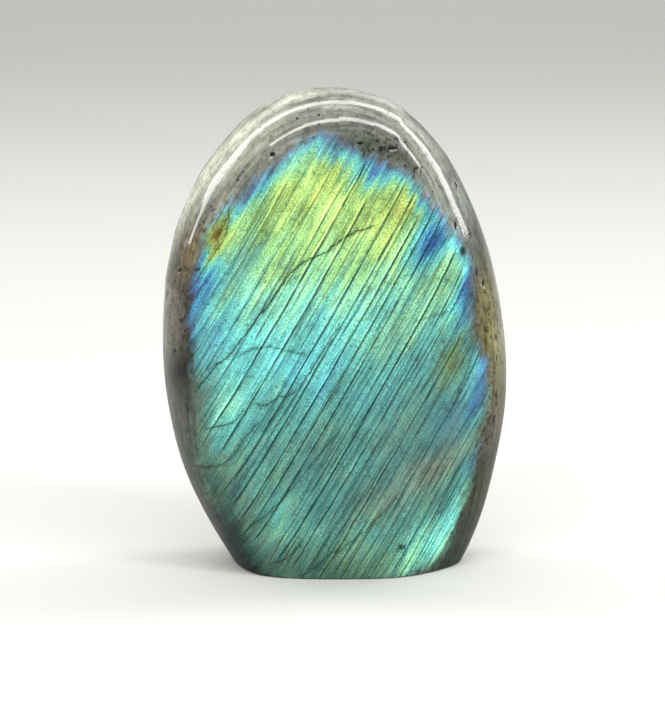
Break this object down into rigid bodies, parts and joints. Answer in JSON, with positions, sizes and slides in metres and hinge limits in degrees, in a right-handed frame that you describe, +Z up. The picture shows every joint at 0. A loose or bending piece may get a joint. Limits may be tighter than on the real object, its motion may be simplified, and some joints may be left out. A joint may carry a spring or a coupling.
{
  "type": "polished labradorite free-form",
  "caption": "Egg-shaped polished slab of labradorite with a gently crowned front face, a softly bevelled rim, a rounder back and a flat sawn base that it stands on.",
  "frame": {"origin": "on the plane of the sawn base, under the middle of the stone's width and depth", "axes": "+Z up from the base to the rounded top, -Y out of the flashing front face, +X to the right of someone looking at that face"},
  "size_m": [0.0854, 0.044, 0.1187],
  "materials": {
    "labradorite": "polished"
  },
  "bodies": {
    "root": {"stone": "labradorite"}
  },
  "joints": []
}
